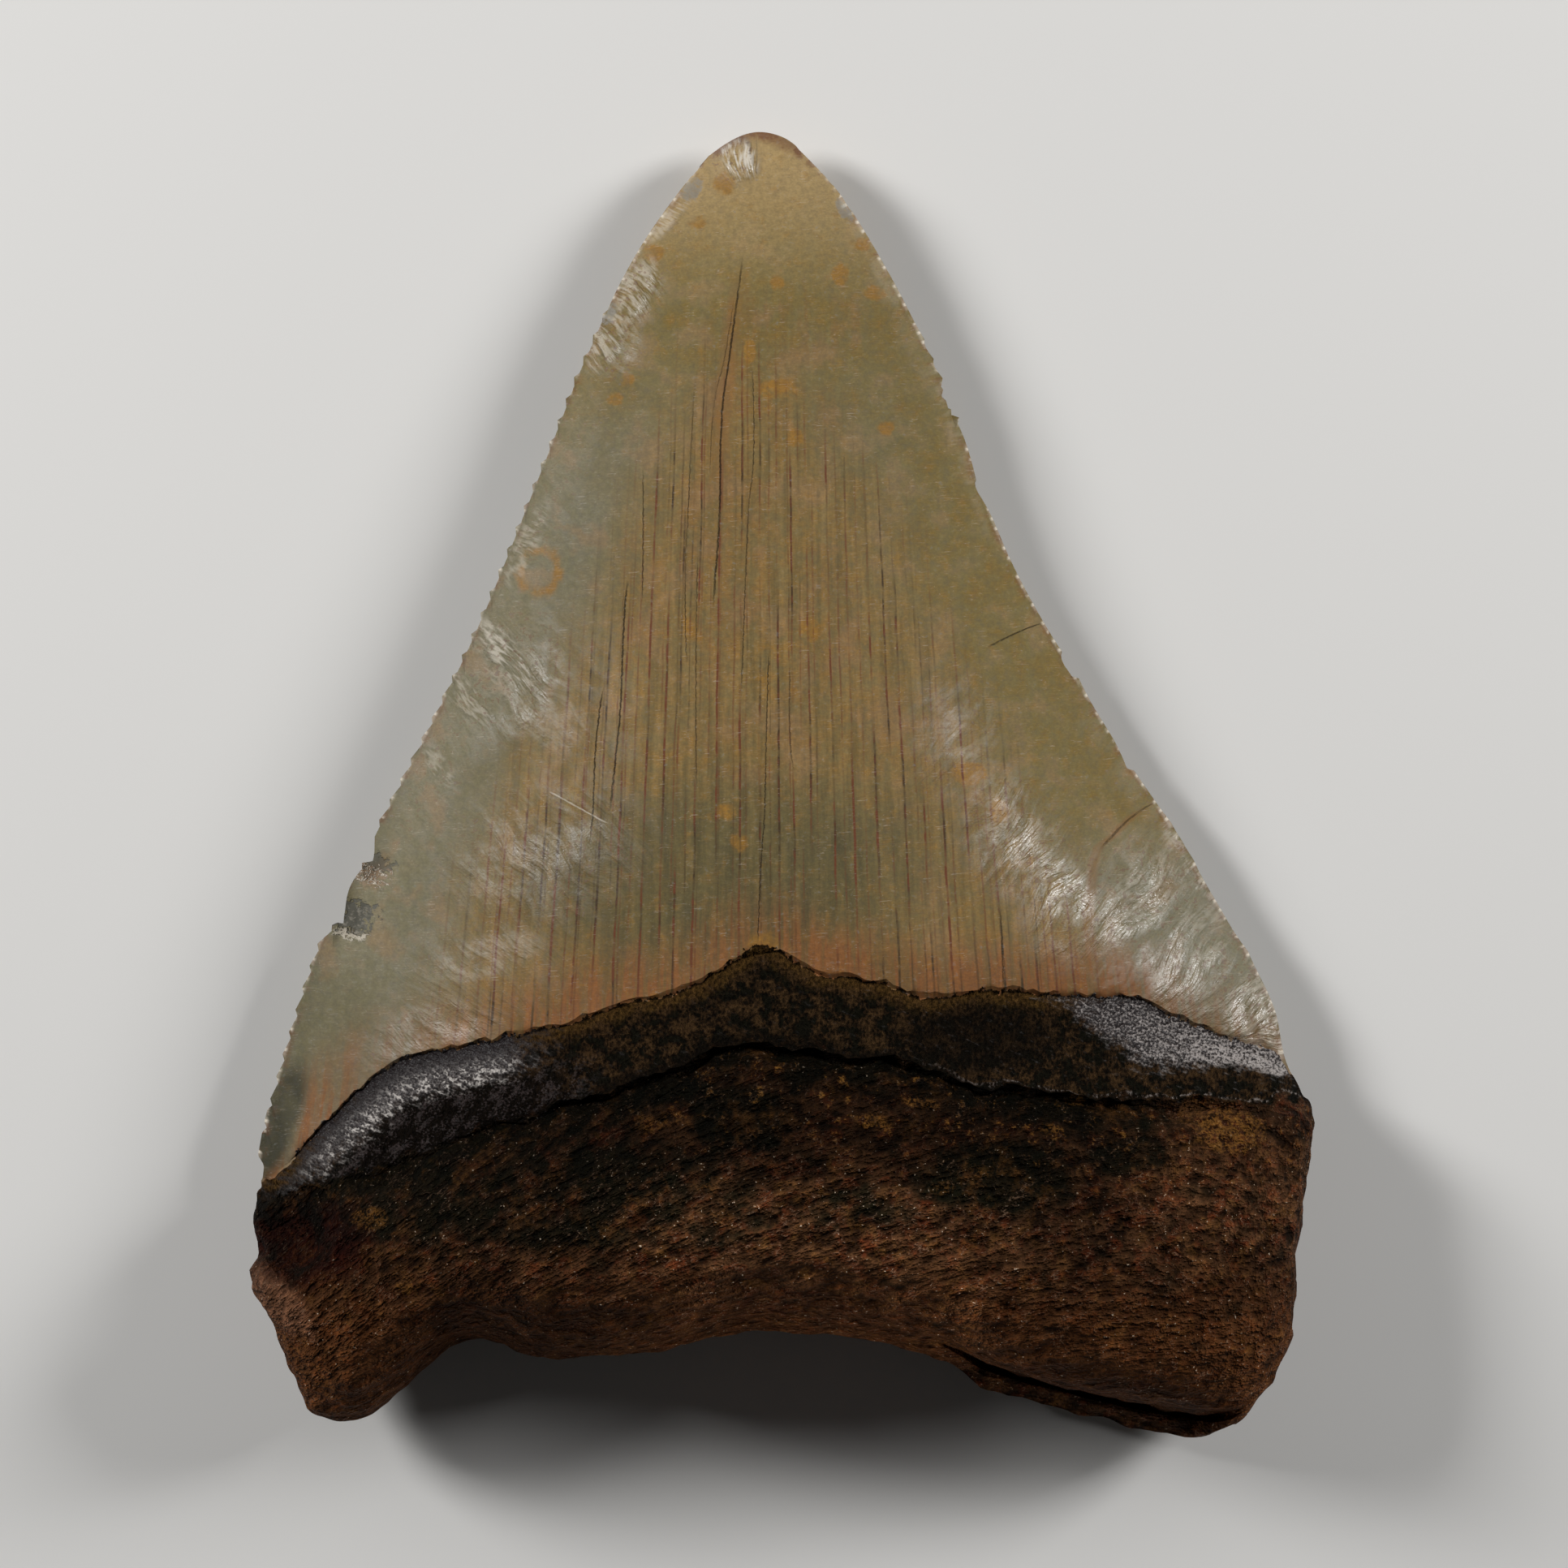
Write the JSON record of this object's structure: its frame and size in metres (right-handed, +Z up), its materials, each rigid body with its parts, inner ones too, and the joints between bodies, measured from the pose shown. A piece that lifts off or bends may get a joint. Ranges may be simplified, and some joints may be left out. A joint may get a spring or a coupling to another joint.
{
  "type": "fossil megalodon tooth",
  "caption": "Large fossil shark tooth: a broad serrated crown, a dark band under its enamel and a heavy lobed root. It lies on its flatter outer face.",
  "frame": {"origin": "on the surface that the tooth rests on, under the middle of its outline", "axes": "+Z up, out of the bulging inner (lingual) face; +Y towards the tip; +X to the right as the inner face is seen with the tip away from the viewer"},
  "size_m": [0.0788, 0.0964, 0.0215],
  "materials": {
    "fossil": "worn glossy enamel, tan to grey-green, on the crown; dark brown, satin to matt, on the band and root"
  },
  "bodies": {
    "root": {"tooth": "fossil"}
  },
  "joints": []
}
